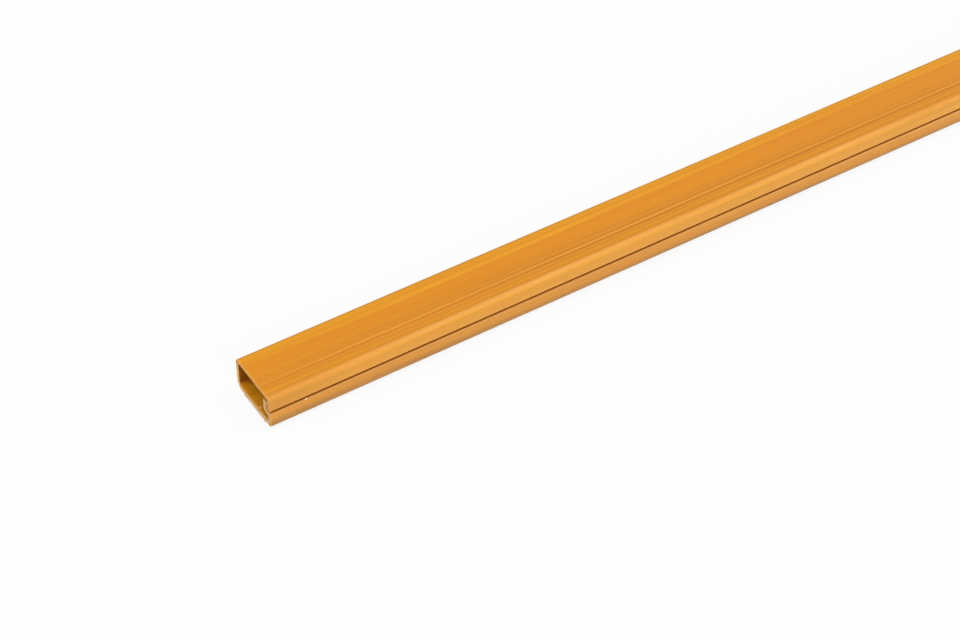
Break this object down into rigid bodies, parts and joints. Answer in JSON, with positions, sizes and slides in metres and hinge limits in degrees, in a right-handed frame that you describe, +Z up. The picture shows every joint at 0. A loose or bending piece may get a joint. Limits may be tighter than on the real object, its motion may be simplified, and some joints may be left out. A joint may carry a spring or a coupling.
{
  "type": "adhesive cable trunking",
  "caption": "Straight self-adhesive mini cable trunking in wood-look plastic: open-ended channel with a film-hinged lid that clips shut along one side, foam tape under its floor.",
  "frame": {"origin": "middle of the length and width, on the underside of the release liner", "axes": "+X along the length, +Y towards the hinge side, +Z up from the adhesive back to the lid"},
  "size_m": [1, 0.02, 0.0122],
  "materials": {
    "wood_look_pvc": "satin PVC with a streaky orange wood grain along its length",
    "foam_tape": "white closed-cell foam, double-sided adhesive",
    "liner_paper": "pale siliconised release paper"
  },
  "bodies": {
    "base": {"base_channel": "wood_look_pvc", "film_hinge": "wood_look_pvc", "adhesive_tape": "foam_tape", "release_liner": "liner_paper"},
    "cover": {"lid": "wood_look_pvc"}
  },
  "joints": [
    {"name": "lid_hinge", "type": "hinge", "parent": "base", "child": "cover", "pos_m": [0, 0.0095, 0.01172], "axis": [-1, 0, 0], "range_deg": [0, 150], "deforming": ["film_hinge"]}
  ]
}
